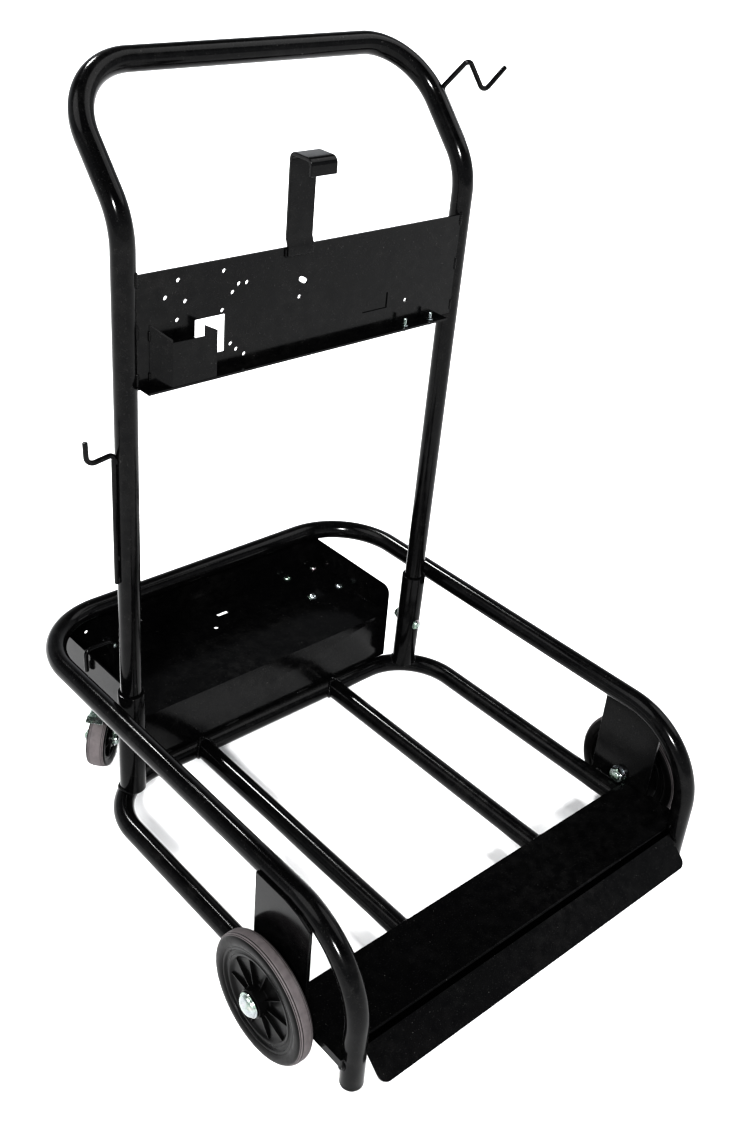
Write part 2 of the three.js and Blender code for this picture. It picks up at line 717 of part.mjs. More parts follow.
function addCasterFork(side, sign) {
  const inside = CASTER_WIDTH / 2 + 2;
  const thick = 2.5;
  const outline = new THREE.Shape();
  outline.moveTo(-19, CASTER_CROWN_Z);
  outline.lineTo(-17, CASTER_CROWN_Z - 12);
  outline.lineTo(CASTER_TRAIL - 9, CASTER_R - 2);
  outline.absarc(CASTER_TRAIL, CASTER_R, 9, Math.PI * 1.08, Math.PI * 1.95);
  outline.lineTo(24, CASTER_CROWN_Z);
  const leg = extruded(outline, thick).rotateX(Math.PI / 2);
  const crown = slab([-19, -inside - thick, CASTER_CROWN_Z - 2.5], [24, inside + thick, CASTER_CROWN_Z]);
  const race = bar('z', 21, 11, [0, 0, CASTER_CROWN_Z + 5.2], 20);
  const body = join(
    leg.clone().translate(0, -inside, 0),
    leg.clone().translate(0, inside + thick, 0),
    crown,
    race,
  );
  const drills = [
    bar('z', 6.5, 60, [0, 0, CASTER_CROWN_Z]),
    bar('y', CASTER_AXLE_R + 0.4, 80, [CASTER_TRAIL, 0, CASTER_R]),
    bar('y', PEDAL_ROD_R + 0.4, 80, [PEDAL_X, 0, PEDAL_Z], 10),
  ];
  add(`caster_fork_${side}`, onCaster(cut(body, drills), sign), zinc);

  const reach = inside + thick + GAP;
  const axle = [
    [0, -reach - 6], [6.8, -reach - 6], [6.8, -reach], [CASTER_AXLE_R, -reach], [CASTER_AXLE_R, reach],
    [6.8, reach], [6.8, reach + 3.5], [4, reach + 5], [0, reach + 5],
  ];
  const bolt = turned(axle, 12).rotateX(-Math.PI / 2).translate(CASTER_TRAIL, 0, CASTER_R);
  add(`caster_axle_${side}`, onCaster(bolt, sign), zinc);
}

// A foot lever that presses on the tread when its tip is pushed down.
function addBrakePedal(side, sign) {
  const rod = bar('y', PEDAL_ROD_R, 2 * (CASTER_WIDTH / 2 + 5.6), [0, 0, 0], 10);
  const profile = polygon([
    [-1, -1.2], [20, -1.2], [44, 6], [51, 3], [52.5, 4.6], [44, 8.2], [20, 1], [-1, 1.2],
  ]);
  const plate = extruded(profile, 22).rotateX(Math.PI / 2).translate(0, 11, 0);
  const pedal = join(rod, plate).translate(PEDAL_X, 0, PEDAL_Z);
  add(`brake_pedal_${side}`, onCaster(pedal, sign), zinc);
}

function addCasterWheel(side, sign) {
  const half = CASTER_WIDTH / 2;
  const tyre = [
    [27.3, -10.5], [33, -half], [36.5, -11], [CASTER_R, -8], [CASTER_R, 8], [36.5, 11], [33, half],
    [27.3, 10.5],
  ];
  const hub = [
    [CASTER_AXLE_R + 0.4, -half - 0.8], [11, -half - 0.8], [12, -6], [23, -5], [27, -10],
    [27, 10], [23, 5], [12, 6], [11, half + 0.8], [CASTER_AXLE_R + 0.4, half + 0.8],
  ];
  const stand = (profile, segments) => {
    const ring = turned([...profile, profile[0]], segments).rotateX(Math.PI / 2);
    return onCaster(ring.translate(CASTER_TRAIL, 0, CASTER_R), sign);
  };
  add(`caster_tyre_${side}`, stand(tyre, 28), rubber);
  add(`caster_hub_${side}`, stand(hub, 20), plastic);
}

addLowerFrame();
addCage();
addToePlate();
addTray();
addMast();
addPanel();
addTorchHolder();
addStay();
addCableHooks();
for (const [side, sign] of SIDES) {
  addFrontAxle(side, sign);
  addFrontWheel(side, sign);
  addCasterMount(side, sign);
  addCasterFork(side, sign);
  addBrakePedal(side, sign);
  addCasterWheel(side, sign);
}

export default cart;
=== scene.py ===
import math

import bmesh
import bpy
from mathutils import Matrix, Vector, noise


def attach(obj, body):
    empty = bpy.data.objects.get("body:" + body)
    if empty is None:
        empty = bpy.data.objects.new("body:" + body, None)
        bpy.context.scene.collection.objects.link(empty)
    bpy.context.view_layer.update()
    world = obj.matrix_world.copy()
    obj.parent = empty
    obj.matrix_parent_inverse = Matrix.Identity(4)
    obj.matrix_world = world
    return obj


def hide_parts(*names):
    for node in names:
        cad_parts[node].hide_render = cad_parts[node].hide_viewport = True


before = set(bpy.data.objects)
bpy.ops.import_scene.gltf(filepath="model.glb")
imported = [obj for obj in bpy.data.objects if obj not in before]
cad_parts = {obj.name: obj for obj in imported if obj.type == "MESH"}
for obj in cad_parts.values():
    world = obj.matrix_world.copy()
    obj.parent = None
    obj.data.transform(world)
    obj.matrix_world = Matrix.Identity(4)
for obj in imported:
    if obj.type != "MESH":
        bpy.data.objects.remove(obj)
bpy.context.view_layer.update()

MM = 0.001
SIDES = (("left", -1), ("right", 1))

# ---- Dimensions shared with the frame, in millimetres and radians --------------------
TUBE_R = 12.7
TUBE_BORE = 11.0
TUBE_SIDES = 40
TUBE_BEND_STEPS = 28
ROD_R = 3
ROD_SIDES = 20
ROD_BEND_STEPS = 12
RAIL_X = 262.5
LOWER_Z = 51
CAGE_Z = 202
CROSS_Y = 173
CAGE_REAR_Y = 332
LEG_Y = -313
LEG_END_Z = 24
LOWER_FRONT_Y = LEG_Y + 5
INNER_RAIL_X = 110
INNER_RAIL_FRONT_Y = -285
LOWER_CORNER_R = 82
CAGE_CORNER_R = 97
LEG_BEND_R = 100

MAST_X = 227
MAST_Y = 150
MAST_LEAN = 0.021
HANDLE_KNEE = 716
HANDLE_REACH = 162
HANDLE_SLOPE = 0.752
HANDLE_BEND_R = 72
HANDLE_CORNER_R = 76
POST_FOOT = 19
SOCKET_R = 15.9
SOCKET_BORE_R = 13.05
SOCKET_FOOT = 10
SOCKET_TOP = 158
POST_BOLT_HEIGHT = 82
SHEET = 2.5
PANEL_FRONT = -10.7
PANEL_BOTTOM = 546
PANEL_TOP = 666
PANEL_HALF_WIDTH = 219.4
STUD_Y = -20
STUD_XS = (("left", 137), ("right", 177))
STAY_EDGES = (-38, -4)
STAY_FOOT = 657
TORCH_HOLDER_X = -205.2
HOOK_X = MAST_X + TUBE_R + ROD_R - 0.4

WHEEL_X = 298
WHEEL_Y = -210
WHEEL_R = 73.5
WHEEL_HALF = 10
HUB_INNER = 15.3
HUB_OUTER = 16.5
HUB_RIBS = 10
HUB_FIRST_RIB = math.radians(59)
BRACKET_X = RAIL_X + TUBE_R + 0.3

CASTER_X = 172
CASTER_Y = 296
CASTER_R = 38
CASTER_HALF = 12.5
CASTER_TRAIL = 31
CASTER_HEADING = 3.87
CASTER_PLATE_Z = 104
CASTER_CROWN_Z = 92
CASTER_RIBS = 5
FORK_GAP = 2
FORK_SHEET = 2.5
CASTER_BOLT_DX = 25
CASTER_BOLT_DY = 30
TRAY_FLOOR_TOP = 137
TRAY_SHEET = 2
TRAY_HALF_WIDTH = 210
TRAY_FRONT_Y = 174
TRAY_REAR_Y = 335
LONG_EDGE = 100


# ---- Materials -----------------------------------------------------------------------
class Surface:
    """A Principled material with a few procedural layers driven by object coordinates."""

    def __init__(self, name):
        self.material = bpy.data.materials.new(name)
        self.material.use_nodes = True
        self.tree = self.material.node_tree
        self.shader = self.tree.nodes["Principled BSDF"]
        self.coords = self.tree.nodes.new("ShaderNodeTexCoord").outputs["Object"]
        self.relief = None

    def new(self, kind, **values):
        node = self.tree.nodes.new(kind)
        for key, value in values.items():
            setattr(node, key, value)
        return node

    def link(self, source, target):
        self.tree.links.new(source, target)

    def noise(self, scale, detail=3.0, roughness=0.55):
        """Noise of about so many blobs to the metre."""
        node = self.new("ShaderNodeTexNoise")
        node.inputs["Scale"].default_value = scale
        node.inputs["Detail"].default_value = detail
        node.inputs["Roughness"].default_value = roughness
        self.link(self.coords, node.inputs["Vector"])
        return node.outputs["Fac"]

    def span(self, source, low, high, start=0.3, end=0.7):
        """Maps start..end of a source to low..high, and holds it there outside."""
        node = self.new("ShaderNodeMapRange")
        node.inputs["From Min"].default_value = start
        node.inputs["From Max"].default_value = end
        node.inputs["To Min"].default_value = low
        node.inputs["To Max"].default_value = high
        self.link(source, node.inputs["Value"])
        return node.outputs["Result"]

    def blend(self, factor, first, second):
        """Goes from the first colour to the second as the factor goes from 0 to 1."""
        node = self.new("ShaderNodeMix", data_type="RGBA")
        for value, socket in ((first, node.inputs[6]), (second, node.inputs[7])):
            if isinstance(value, tuple):
                socket.default_value = (*value, 1)
            else:
                self.link(value, socket)
        self.link(factor, node.inputs[0])
        return node.outputs[2]

    def maths(self, operation, first, second):
        node = self.new("ShaderNodeMath", operation=operation)
        for value, socket in ((first, node.inputs[0]), (second, node.inputs[1])):
            if isinstance(value, (int, float)):
                socket.default_value = value
            else:
                self.link(value, socket)
        return node.outputs[0]

    def bump(self, height, distance, strength):
        """Adds relief, over any that is there already; distance is in metres."""
        node = self.new("ShaderNodeBump")
        node.inputs["Strength"].default_value = strength
        node.inputs["Distance"].default_value = distance
        self.link(height, node.inputs["Height"])
        if self.relief is not None:
            self.link(self.relief, node.inputs["Normal"])
        self.relief = node.outputs["Normal"]
        self.link(self.relief, self.shader.inputs["Normal"])

    def set(self, name, value):
        """Gives a shader input a colour, a number or another node's output."""
        socket = self.shader.inputs[name]
        if hasattr(value, "is_linked"):
            self.link(value, socket)
        else:
            socket.default_value = (*value, 1) if isinstance(value, tuple) else value


def powder_coat():
    """Gloss black powder coat: orange peel, dust that dulls it in patches, small nicks."""
    coat = Surface("black_powder_coat")
    patches = coat.noise(9, 4)
    fine = coat.noise(85, 5)
    speckle = coat.noise(640, 2)
    dust = coat.maths(
        "MULTIPLY", coat.span(patches, 0, 1, 0.42, 0.7), coat.span(fine, 0, 1, 0.4, 0.7)
    )
    nicks = coat.span(coat.noise(330, 2), 0, 1, 0.735, 0.76)
    base = coat.blend(coat.span(fine, 0, 1), (0.0012, 0.0012, 0.0014), (0.0026, 0.0026, 0.0027))
    dusted = coat.blend(coat.maths("MULTIPLY", dust, 0.3), base, (0.014, 0.0136, 0.013))
    speckled = coat.blend(coat.span(speckle, 0, 0.35, 0.62, 0.72), dusted, (0.03, 0.0295, 0.0285))
    nicked = coat.blend(coat.maths("MULTIPLY", nicks, 0.5), speckled, (0.08, 0.078, 0.074))
    coat.set("Base Color", nicked)
    gloss = coat.span(patches, 0.12, 0.17)
    coat.set("Roughness", coat.maths("ADD", gloss, coat.maths("MULTIPLY", dust, 0.1)))
    coat.set("IOR", 1.5)
    coat.set("Specular IOR Level", 0.13)
    coat.bump(coat.noise(420, 2, 0.4), 0.00003, 0.25)
    coat.bump(coat.noise(70, 2, 0.4), 0.00016, 0.25)
    return coat.material


def zinc_plate():
    """Bright zinc: green and pink passivation tints, satin patches and fine scratches."""
    zinc = Surface("bright_zinc")
    tint = zinc.noise(75, 3)
    pink = zinc.noise(52, 2)
    blotch = zinc.noise(240, 4)
    greenish = zinc.blend(zinc.span(tint, 0, 1, 0.4, 0.62), (0.29, 0.31, 0.32), (0.27, 0.35, 0.29))
    colour = zinc.blend(zinc.span(pink, 0, 0.8, 0.55, 0.68), greenish, (0.38, 0.29, 0.32))
    blotched = zinc.blend(zinc.span(blotch, 0, 0.5, 0.45, 0.8), colour, (0.12, 0.13, 0.11))
    zinc.set("Base Color", blotched)
    zinc.set("Metallic", 1.0)
    zinc.set("Roughness", zinc.span(blotch, 0.16, 0.34))
    zinc.bump(zinc.noise(900, 2), 0.00004, 0.5)
    return zinc.material


def tyre_rubber():
    """Grey moulded rubber of the tread band, scuffed pale in places."""
    rubber = Surface("grey_tyre_rubber")
    grain = rubber.noise(150, 5)
    wear = rubber.noise(38, 3)
    worn = rubber.blend(rubber.span(grain, 0, 1), (0.058, 0.051, 0.052), (0.088, 0.078, 0.079))
    scuffed = rubber.blend(rubber.span(wear, 0, 0.45, 0.5, 0.75), worn, (0.115, 0.104, 0.105))
    rubber.set("Base Color", scuffed)
    rubber.set("Roughness", rubber.span(grain, 0.62, 0.82))
    rubber.set("Specular IOR Level", 0.3)
    rubber.bump(rubber.noise(620, 3), 0.00012, 0.6)
    return rubber.material


def side_wall_rubber():
    """The black shoulders and side walls of the tyres, slightly satin."""
    rubber = Surface("black_side_wall")
    grain = rubber.noise(170, 4)
    dusty = rubber.noise(26, 3)
    dark = rubber.blend(rubber.span(grain, 0, 1), (0.0018, 0.0017, 0.0018), (0.0042, 0.004, 0.004))
    dusted = rubber.blend(rubber.span(dusty, 0, 0.5, 0.5, 0.75), dark, (0.009, 0.0087, 0.0084))
    rubber.set("Base Color", dusted)
    rubber.set("Roughness", rubber.span(grain, 0.3, 0.44))
    rubber.set("Specular IOR Level", 0.1)
    rubber.bump(rubber.noise(700, 2), 0.00006, 0.4)
    return rubber.material


def moulded_plastic():
    """Black moulded plastic with a fine spark-eroded grain."""
    plastic = Surface("black_moulded_plastic")
    haze = plastic.noise(22, 3)
    tone = plastic.blend(plastic.span(haze, 0, 1), (0.0016, 0.0016, 0.0017), (0.004, 0.004, 0.0039))
    plastic.set("Base Color", tone)
    plastic.set("Roughness", plastic.span(haze, 0.24, 0.36))
    plastic.set("Specular IOR Level", 0.1)
    plastic.bump(plastic.noise(1300, 2), 0.00004, 0.4)
    return plastic.material


def pale_floor():
    """Matt near-white floor with the faintest unevenness."""
    floor = Surface("pale_floor")
    tone = floor.noise(1.4, 3)
    floor.set("Base Color", floor.blend(floor.span(tone, 0, 1), (0.95, 0.95, 0.95), (0.97, 0.97, 0.97)))
    floor.set("Roughness", 0.85)
    floor.set("Specular IOR Level", 0.15)
    return floor.material


PAINT = powder_coat()
ZINC = zinc_plate()
TREAD = tyre_rubber()
SIDE_WALL = side_wall_rubber()
PLASTIC = moulded_plastic()


# ---- Places --------------------------------------------------------------------------
def on_mast():
    """From the mast's own upright axes, which lean back slightly, to the cart's."""
    return Matrix.Translation((0, MAST_Y, LOWER_Z)) @ Matrix.Rotation(MAST_LEAN, 4, "X")


def on_caster(sign):
    """From a caster's own axes, kingpin at the origin, to the cart's."""
    turn = Matrix.Rotation(CASTER_HEADING, 4, "Z")
    return Matrix.Translation((sign * CASTER_X, CASTER_Y, 0)) @ turn


def turned_to(direction, place=(0, 0, 0)):
    """A matrix that takes +Z to a direction, at a place."""
    turn = Vector((0, 0, 1)).rotation_difference(Vector(direction)).to_matrix().to_4x4()
    return Matrix.Translation(place) @ turn


# ---- Shapes --------------------------------------------------------------------------
FLAT_WITHIN = math.radians(1)
NUT_SIDES = 48


def finished(name, bm, material, body, replaces=(), place=None, smooth=40, bevel=None):
    """Adds one piece: millimetre mesh, scaled to metres, riding on a body.
    smooth is the largest angle shaded smooth, in degrees; bevel rounds the edges, in millimetres."""
    bmesh.ops.recalc_face_normals(bm, faces=bm.faces[:])
    if place is not None:
        bm.transform(place)
    bm.transform(Matrix.Scale(MM, 4))
    data = bpy.data.meshes.new(name)
    bm.to_mesh(data)
    bm.free()
    piece = bpy.data.objects.new(name, data)
    bpy.context.scene.collection.objects.link(piece)
    for entry in material if isinstance(material, list) else [material]:
        data.materials.append(entry)
    data.shade_smooth()
    data.set_sharp_from_angle(angle=math.radians(smooth))
    if bevel:
        rounding = piece.modifiers.new("edge_rounding", "BEVEL")
        rounding.width = bevel * MM
        rounding.segments = 3
        rounding.limit_method = "ANGLE"
        rounding.angle_limit = math.radians(32)
        weighted = piece.modifiers.new("weighted_normals", "WEIGHTED_NORMAL")
        weighted.keep_sharp = True
    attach(piece, body)
    if replaces:
        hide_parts(*replaces)
    return piece


def bent_path(corners, radii, steps):
    """Centreline points of straight runs joined by round bends of so many steps."""
    points = [Vector(corners[0])]
    for i in range(1, len(corners) - 1):
        before, corner, after = (Vector(corners[k]) for k in (i - 1, i, i + 1))
        incoming = (corner - before).normalized()
        outgoing = (after - corner).normalized()
        angle = incoming.angle(outgoing)
        radius = radii[i - 1]
        start = corner - incoming * radius * math.tan(angle / 2)
        axis = incoming.cross(outgoing).normalized()
        inward = axis.cross(incoming)
        centre = start + inward * radius
        for step in range(steps + 1):
            turn = Matrix.Rotation(angle * step / steps, 3, axis)
            points.append(centre + turn @ (-inward * radius))
    points.append(Vector(corners[-1]))
    return points


def sections(points):
    """A frame at each point that doesn't twist along the line."""
    tangents = []
    for i in range(len(points)):
        ahead = points[min(i + 1, len(points) - 1)] - points[i]
        behind = points[i] - points[max(i - 1, 0)]
        tangents.append((ahead.normalized() + behind.normalized()).normalized())
    side = tangents[0].orthogonal().normalized()
    frames = []
    for i, tangent in enumerate(tangents):
        if i:
            side = tangents[i - 1].rotation_difference(tangent) @ side
        side = (side - tangent * side.dot(tangent)).normalized()
        frames.append((points[i], side, tangent.cross(side)))
    return frames


def ring(bm, centre, side, up, radius, sides):
    """A circle of vertices in the plane of side and up."""
    verts = []
    for k in range(sides):
        angle = 2 * math.pi * k / sides
        spot = centre + side * radius * math.cos(angle) + up * radius * math.sin(angle)
        verts.append(bm.verts.new(spot))
    return verts


def level_ring(bm, height, radius, sides):
    return ring(bm, Vector((0, 0, height)), Vector((1, 0, 0)), Vector((0, 1, 0)), radius, sides)


def skin(bm, first, second):
    """Faces between two closed loops of the same count."""
    count = len(first)
    for k in range(count):
        bm.faces.new((first[k], first[(k + 1) % count], second[(k + 1) % count], second[k]))


def tube(points):
    """The frame's tube along a centreline, open at both ends."""
    bm = bmesh.new()
    frames = sections(points)
    outer = [ring(bm, *place, TUBE_R, TUBE_SIDES) for place in frames]
    inner = [ring(bm, *place, TUBE_BORE, TUBE_SIDES) for place in frames]
    for i in range(len(frames) - 1):
        skin(bm, outer[i], outer[i + 1])
        skin(bm, inner[i + 1], inner[i])
    skin(bm, inner[0], outer[0])
    skin(bm, outer[-1], inner[-1])
    return bm


def rod(points):
    """The solid round rod of hooks and keeper, its ends rounded over."""
    bm = bmesh.new()
    frames = sections(points)
    rings = []
    start, end = frames[0], frames[-1]
    forward = (points[1] - points[0]).normalized()
    onward = (points[-1] - points[-2]).normalized()
    curve = [math.radians(a) for a in (75, 55, 35, 15)]
    for angle in curve:
        centre = start[0] + forward * (1 - math.sin(angle))
        rings.append(ring(bm, centre, start[1], start[2], ROD_R - 1 + math.cos(angle), ROD_SIDES))
    for place in frames[1:-1]:
        rings.append(ring(bm, *place, ROD_R, ROD_SIDES))
    for angle in reversed(curve):
        centre = end[0] - onward * (1 - math.sin(angle))
        rings.append(ring(bm, centre, end[1], end[2], ROD_R - 1 + math.cos(angle), ROD_SIDES))
    for first, second in zip(rings, rings[1:]):
        skin(bm, first, second)
    bm.faces.new(rings[0])
    bm.faces.new(rings[-1])
    return bm


def turned(profile, segments=48, closed=False, into=None):
    """A turned shape about +Z from [radius, height] pairs; radius 0 ends on the axis."""
    bm = into if into is not None else bmesh.new()
    rings = []
    for radius, height in profile:
        if radius < 1e-6:
            rings.append([bm.verts.new((0, 0, height))])
        else:
            rings.append(level_ring(bm, height, radius, segments))
    pairs = list(zip(rings, rings[1:]))
    if closed:
        pairs.append((rings[-1], rings[0]))
    for first, second in pairs:
        if len(first) == 1 or len(second) == 1:
            tip, loop = (first[0], second) if len(first) == 1 else (second[0], first)
            for k in range(segments):
                bm.faces.new((tip, loop[k], loop[(k + 1) % segments]))
        else:
            skin(bm, first, second)
    return bm


def hexagon(corner_r, low, high, bore, into=None, chamfer=0.9):
    """A hexagonal nut with turned-down corners and a plain bore."""
    bm = into if into is not None else bmesh.new()
    flat = corner_r * math.cos(math.pi / 6)
    levels = [(low, True), (low + chamfer, False), (high - chamfer, False), (high, True)]
    rings = []
    for height, turned_down in levels:
        loop = []
        for k in range(NUT_SIDES):
            angle = 2 * math.pi * k / NUT_SIDES
            inside = (angle % (math.pi / 3)) - math.pi / 6
            reach = flat / math.cos(inside)
            if turned_down:
                reach = min(reach, flat * 0.985)
            loop.append(bm.verts.new((reach * math.cos(angle), reach * math.sin(angle), height)))
        rings.append(loop)
    for first, second in zip(rings, rings[1:]):
        skin(bm, first, second)
    low_hole = level_ring(bm, low, bore, NUT_SIDES)
    high_hole = level_ring(bm, high, bore, NUT_SIDES)
    skin(bm, rings[0], low_hole)
    skin(bm, low_hole, high_hole)
    skin(bm, high_hole, rings[-1])
    return bm


def thread(radius, low, high, pitch=1.0):
    """Profile points of a threaded end, from low to high."""
    points = []
    count = max(1, int((high - low) / pitch))
    step = (high - low) / count
    for k in range(count):
        points.append((radius - 0.45, low + step * k))
        points.append((radius, low + step * (k + 0.5)))
    return points


def from_node(node, fold=None, radius=0):
    """A clean copy of a CAD node in millimetres, with its flat faces merged.
    Edges for whose two ends fold(a, b) holds are rounded to radius."""
    bm = bmesh.new()
    bm.from_mesh(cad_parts[node].data)
    bm.transform(Matrix.Scale(1 / MM, 4))
    bmesh.ops.remove_doubles(bm, verts=bm.verts[:], dist=0.005)
    bmesh.ops.dissolve_limit(bm, angle_limit=FLAT_WITHIN, verts=bm.verts[:], edges=bm.edges[:])
    if fold is not None:
        edges = [e for e in bm.edges if fold(e.verts[0].co, e.verts[1].co)]
        bmesh.ops.bevel(
            bm, geom=edges, offset=radius, offset_type="OFFSET", segments=6, profile=0.5,
            affect="EDGES", clamp_overlap=True,
        )
    return bm


def near(value, target):
    return abs(value - target) < 0.2


# ---- Welds ---------------------------------------------------------------------------
class Welds:
    """All the weld beads of the frame, gathered in one mesh."""

    SPACING = 0.55
    RIPPLE = 2.3
    BEAD_SIDES = 12

    def __init__(self):
        self.bm = bmesh.new()
        self.count = 0

    def bead(self, points, radius=2.2, place=None):
        """A rippled bead along a line, tapering at both ends."""
        points = [Vector(p) for p in points]
        if place is not None:
            points = [place @ p for p in points]
        spacing = self.SPACING
        line = [points[0]]
        for start, end in zip(points, points[1:]):
            count = max(1, round((end - start).length / spacing))
            line += [start.lerp(end, (k + 1) / count) for k in range(count)]
        self.count += 1
        frames = sections(line)
        rings = []
        for i, (centre, side, up) in enumerate(frames):
            along = i * spacing
            from_end = min(i, len(frames) - 1 - i) * spacing
            taper = min(1.0, 0.35 + 0.65 * math.sqrt(min(1.0, from_end / (1.2 * radius))))
            ripple = 0.86 + 0.14 * abs(math.sin(math.pi * along / self.RIPPLE))
            wobble = 1 + 0.10 * noise.noise(centre * 0.16 + Vector((self.count, 0, 0)))
            size = radius * taper * ripple * wobble
            rings.append(ring(self.bm, centre, side, up, size, self.BEAD_SIDES))
        for first, second in zip(rings, rings[1:]):
            skin(self.bm, first, second)
        self.bm.faces.new(rings[0])
        self.bm.faces.new(rings[-1])

    def saddle(self, centre, along, across):
        """The bead round the end of a tube (pointing along) that meets a tube running across."""
        centre, along, across = Vector(centre), Vector(along), Vector(across)
        third = along.cross(across)
        branch_r = TUBE_R + 0.6
        run_r = TUBE_R + 0.2
        points = []
        for k in range(73):
            angle = math.radians(5 * k)
            lateral = branch_r * math.cos(angle)
            reach = math.sqrt(max(run_r * run_r - lateral * lateral, 0))
            points.append(centre + third * lateral + across * branch_r * math.sin(angle) + along * reach)
        self.bead(points)


# ---- Frame ---------------------------------------------------------------------------
def build_frame_tubes():
    lower = bent_path(
        [
            (-RAIL_X, LOWER_FRONT_Y, LOWER_Z), (-RAIL_X, CROSS_Y, LOWER_Z),
            (RAIL_X, CROSS_Y, LOWER_Z), (RAIL_X, LOWER_FRONT_Y, LOWER_Z),
        ],
        [LOWER_CORNER_R] * 2, TUBE_BEND_STEPS,
    )
    finished("lower_frame_skin", tube(lower), PAINT, "frame", ["lower_frame_tube"])
    for side, sign in SIDES:
        x = sign * INNER_RAIL_X
        run = [Vector((x, INNER_RAIL_FRONT_Y, LOWER_Z)), Vector((x, CROSS_Y - 6, LOWER_Z))]
        finished(f"inner_rail_skin_{side}", tube(run), PAINT, "frame", [f"inner_rail_{side}"])
    cage = bent_path(
        [
            (-RAIL_X, LEG_Y, LEG_END_Z), (-RAIL_X, LEG_Y, CAGE_Z), (-RAIL_X, CAGE_REAR_Y, CAGE_Z),
            (RAIL_X, CAGE_REAR_Y, CAGE_Z), (RAIL_X, LEG_Y, CAGE_Z), (RAIL_X, LEG_Y, LEG_END_Z),
        ],
        [LEG_BEND_R, CAGE_CORNER_R, CAGE_CORNER_R, LEG_BEND_R], TUBE_BEND_STEPS,
    )
    finished("cage_rail_skin", tube(cage), PAINT, "frame", ["cage_rail"])
    top = LEG_END_Z - 0.1
    plug = [
        (0, top - 7.8), (5, top - 7.7), (9, top - 7.1), (11.4, top - 6), (12.5, top - 4.4), (12.7, top - 3),
        (12.7, top), (10.8, top), (10.8, top + 12), (0, top + 12),
    ]
    for side, sign in SIDES:
        place = Matrix.Translation((sign * RAIL_X, LEG_Y, 0))
        finished(f"leg_plug_skin_{side}", turned(plug), PLASTIC, "frame", [f"leg_plug_{side}"], place)


def build_mast():
    reach_y = HANDLE_REACH * math.sin(HANDLE_SLOPE)
    top = HANDLE_KNEE + HANDLE_REACH * math.cos(HANDLE_SLOPE)
    handle = bent_path(
        [
            (-MAST_X, 0, POST_FOOT), (-MAST_X, 0, HANDLE_KNEE), (-MAST_X, reach_y, top),
            (MAST_X, reach_y, top), (MAST_X, 0, HANDLE_KNEE), (MAST_X, 0, POST_FOOT),
        ],
        [HANDLE_BEND_R, HANDLE_CORNER_R, HANDLE_CORNER_R, HANDLE_BEND_R], TUBE_BEND_STEPS,
    )
    finished("mast_handle_skin", tube(handle), PAINT, "frame", ["mast_handle"], on_mast())
    socket = [
        (SOCKET_R, SOCKET_FOOT), (SOCKET_R, SOCKET_TOP - 0.7), (SOCKET_R - 0.3, SOCKET_TOP - 0.2),
        (SOCKET_R - 0.9, SOCKET_TOP), (SOCKET_BORE_R + 0.45, SOCKET_TOP),
        (SOCKET_BORE_R, SOCKET_TOP - 0.4), (SOCKET_BORE_R, SOCKET_FOOT),
    ]
    for side, sign in SIDES:
        place = on_mast() @ Matrix.Translation((sign * MAST_X, 0, 0))
        sleeve = turned(socket, 56, closed=True)
        finished(f"post_socket_skin_{side}", sleeve, PAINT, "frame", [f"post_socket_{side}"], place)
        build_post_bolt(side, sign)


def build_post_bolt(side, sign):
    face = SOCKET_R + 0.1
    height = Matrix.Translation((sign * MAST_X, 0, POST_BOLT_HEIGHT))
    across = on_mast() @ height @ Matrix.Rotation(math.pi / 2, 4, "X")
    shank = [
        (0, -face - 9.2), (3.3, -face - 9.2), *thread(4, -face - 8.8, -face + 2, 1.25),
        (4, -face + 2), (4, face),
    ]
    head = [
        (7.2, face), (7.4, face + 0.5), (7.2, face + 1.0), (6.3, face + 1.1), (6.2, face + 2.2),
        (5.4, face + 3.9), (3.6, face + 4.9), (1.6, face + 5.2), (0, face + 5.3),
    ]
    bolt = turned([*shank, *head], 40)
    finished(f"post_bolt_skin_{side}", bolt, ZINC, "frame", [f"post_bolt_{side}"], across)
    nut = hexagon(7.5, -face - 6.8, -face - 0.9, 4.1)
    washer = [(4.1, -face - 0.9), (7.9, -face - 0.9), (7.9, -face), (4.1, -face)]
    turned(washer, 40, closed=True, into=nut)
    finished(f"post_nut_skin_{side}", nut, ZINC, "frame", [f"post_nut_{side}"], across)


def painted_sheet(node, bm, edge_rounding, side=""):
    """A folded or cut piece of painted sheet that stands for one node."""
    finished(
        f"{node}_skin{side}", bm, PAINT, "frame", [f"{node}{side}"], bevel=edge_rounding, smooth=34
    )


def build_panel():
    """The mast panel, its studs, the torch holder and the stay."""

    def lip_fold(a, b):
        ends = [on_mast().inverted() @ end for end in (a, b)]
        return all(near(end.y, PANEL_FRONT + SHEET) and near(end.z, PANEL_BOTTOM) for end in ends)

    painted_sheet("mast_panel", from_node("mast_panel", lip_fold, 2.2), 0.45)
    painted_sheet("torch_holder", from_node("torch_holder"), 0.5)
    painted_sheet("cylinder_stay", from_node("cylinder_stay"), 0.8)
    foot = PANEL_BOTTOM + SHEET
    stud = [
        (0, foot - 6), (1.9, foot - 6), *thread(2.3, foot - 5.8, foot - 2.6, 0.8), (2.3, foot - 2.5),
        (2.3, foot),
        (4.3, foot), (4.5, foot + 0.4), (4.3, foot + 1.9), (2.2, foot + 2.1),
        *thread(2.25, foot + 2.2, foot + 9.2, 0.8), (1.7, foot + 9.6), (0, foot + 9.8),
    ]
    for side, x in STUD_XS:
        place = on_mast() @ Matrix.Translation((x, STUD_Y, 0))
        shape = turned(stud, 24)
        finished(f"panel_stud_skin_{side}", shape, ZINC, "frame", [f"panel_stud_{side}"], place)


